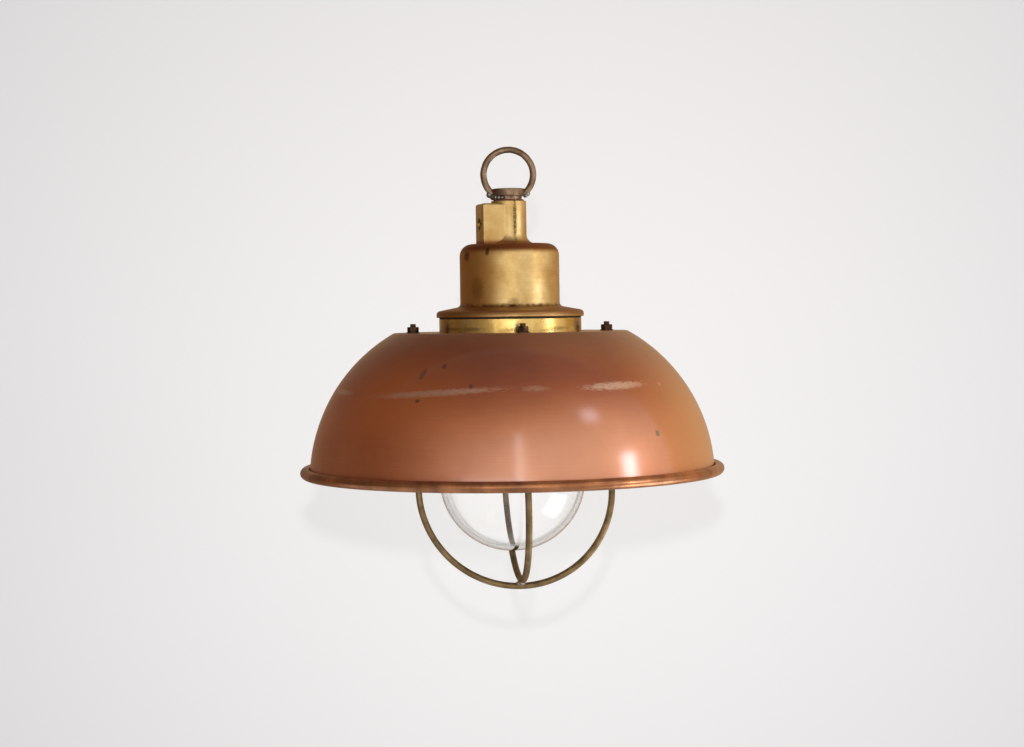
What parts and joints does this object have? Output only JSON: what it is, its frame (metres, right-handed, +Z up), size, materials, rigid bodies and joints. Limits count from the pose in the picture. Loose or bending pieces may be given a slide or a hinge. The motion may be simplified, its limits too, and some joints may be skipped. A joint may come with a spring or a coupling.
{
  "type": "pendant ship lantern",
  "caption": "Copper dome-shade cargo lantern with a brass cap, side cable entry, hanging ring, screwed well glass and brazed hoop guard.",
  "frame": {"origin": "inside of the hanging ring at its top, where the hook bears, on the lantern's axis", "axes": "+Z up along the lantern's axis, +X and Z in the plane of the ring; the cable entry points to -X turned 15 degrees towards -Y"},
  "size_m": [0.4234, 0.4234, 0.4432],
  "materials": {
    "copper": "worn copper",
    "cap_brass": "satin",
    "bright_brass": "polished",
    "guard_brass": "dull",
    "ring_bronze": "dull",
    "nut_bronze": "dull",
    "braze": "dull",
    "solder": "satin",
    "lamp_cap_metal": "satin",
    "filament": "satin",
    "rubber": "matte",
    "fibre": "matte",
    "black_glass": "gloss",
    "porcelain": "glazed",
    "clear_glass": "clear"
  },
  "bodies": {
    "head": {"hanging_ring": "ring_bronze", "ring_braze": "braze", "ring_plug": "ring_bronze", "plug_washer": "fibre", "head_cap": "cap_brass", "gland_grommet": "rubber", "holder_bridge": "bright_brass", "bridge_screws": "bright_brass", "holder_body": "porcelain", "holder_screws": "bright_brass", "terminal_screws": "bright_brass", "earth_screw": "bright_brass", "screw_shell": "bright_brass", "centre_contact": "bright_brass"},
    "seal_ring": {"cap_seal": "rubber"},
    "gallery": {"gallery": "bright_brass", "flange_gasket": "rubber", "shade": "copper"},
    "globe_seal": {"globe_gasket": "rubber"},
    "globe": {"globe": "clear_glass"},
    "guard": {"guard_hoop_lower": "guard_brass", "guard_hoop_upper": "guard_brass", "guard_braze": "braze", "guard_lock_nuts": "nut_bronze"},
    "guard_fixings": {"guard_nuts": "nut_bronze", "guard_washers": "nut_bronze"},
    "lamp_contact": {"lamp_tip": "solder"},
    "lamp": {"lamp_insulator": "black_glass", "lamp_cap": "lamp_cap_metal", "lamp_glass": "clear_glass", "lamp_stem": "clear_glass", "lamp_filament": "filament"},
    "gland_ring": {"gland_washer": "bright_brass"},
    "gland": {"gland_screw": "cap_brass"}
  },
  "joints": [
    {"name": "gallery_travel", "type": "slide", "parent": "head", "child": "seal_ring", "axis": [0, 0, -1], "range_m": [0, 0.008]},
    {"name": "gallery_turn", "type": "hinge", "parent": "seal_ring", "child": "gallery", "pos_m": [0, 0, -0.17], "axis": [0, 0, -1], "range_deg": [0, 1440]},
    {"name": "globe_travel", "type": "slide", "parent": "gallery", "child": "globe_seal", "axis": [0, 0, -1], "range_m": [0, 0.015]},
    {"name": "globe_turn", "type": "hinge", "parent": "globe_seal", "child": "globe", "pos_m": [0, 0, -0.19], "axis": [0, 0, -1], "range_deg": [0, 900]},
    {"name": "guard_drop", "type": "slide", "parent": "gallery", "child": "guard", "axis": [0, 0, -1], "range_m": [0, 0.25]},
    {"name": "guard_nuts_lift", "type": "slide", "parent": "gallery", "child": "guard_fixings", "axis": [0, 0, 1], "range_m": [0, 0.015]},
    {"name": "lamp_travel", "type": "slide", "parent": "head", "child": "lamp_contact", "axis": [0, 0, -1], "range_m": [0, 0.01452]},
    {"name": "lamp_turn", "type": "hinge", "parent": "lamp_contact", "child": "lamp", "pos_m": [0, 0, -0.19], "axis": [0, 0, -1], "range_deg": [0, 1440]},
    {"name": "gland_travel", "type": "slide", "parent": "head", "child": "gland_ring", "axis": [-0.9659, -0.2588, 0], "range_m": [0, 0.0075]},
    {"name": "gland_turn", "type": "hinge", "parent": "gland_ring", "child": "gland", "pos_m": [0, 0, -0.071], "axis": [-0.9659, -0.2588, 0], "range_deg": [0, 1800]}
  ],
  "couplings": [
    {"joint": "gallery_travel", "follows": "gallery_turn", "m_per_rad": 0.00031831},
    {"joint": "globe_travel", "follows": "globe_turn", "m_per_rad": 0.00095493},
    {"joint": "lamp_travel", "follows": "lamp_turn", "m_per_rad": 0.00057773},
    {"joint": "gland_travel", "follows": "gland_turn", "m_per_rad": 0.00023873}
  ]
}
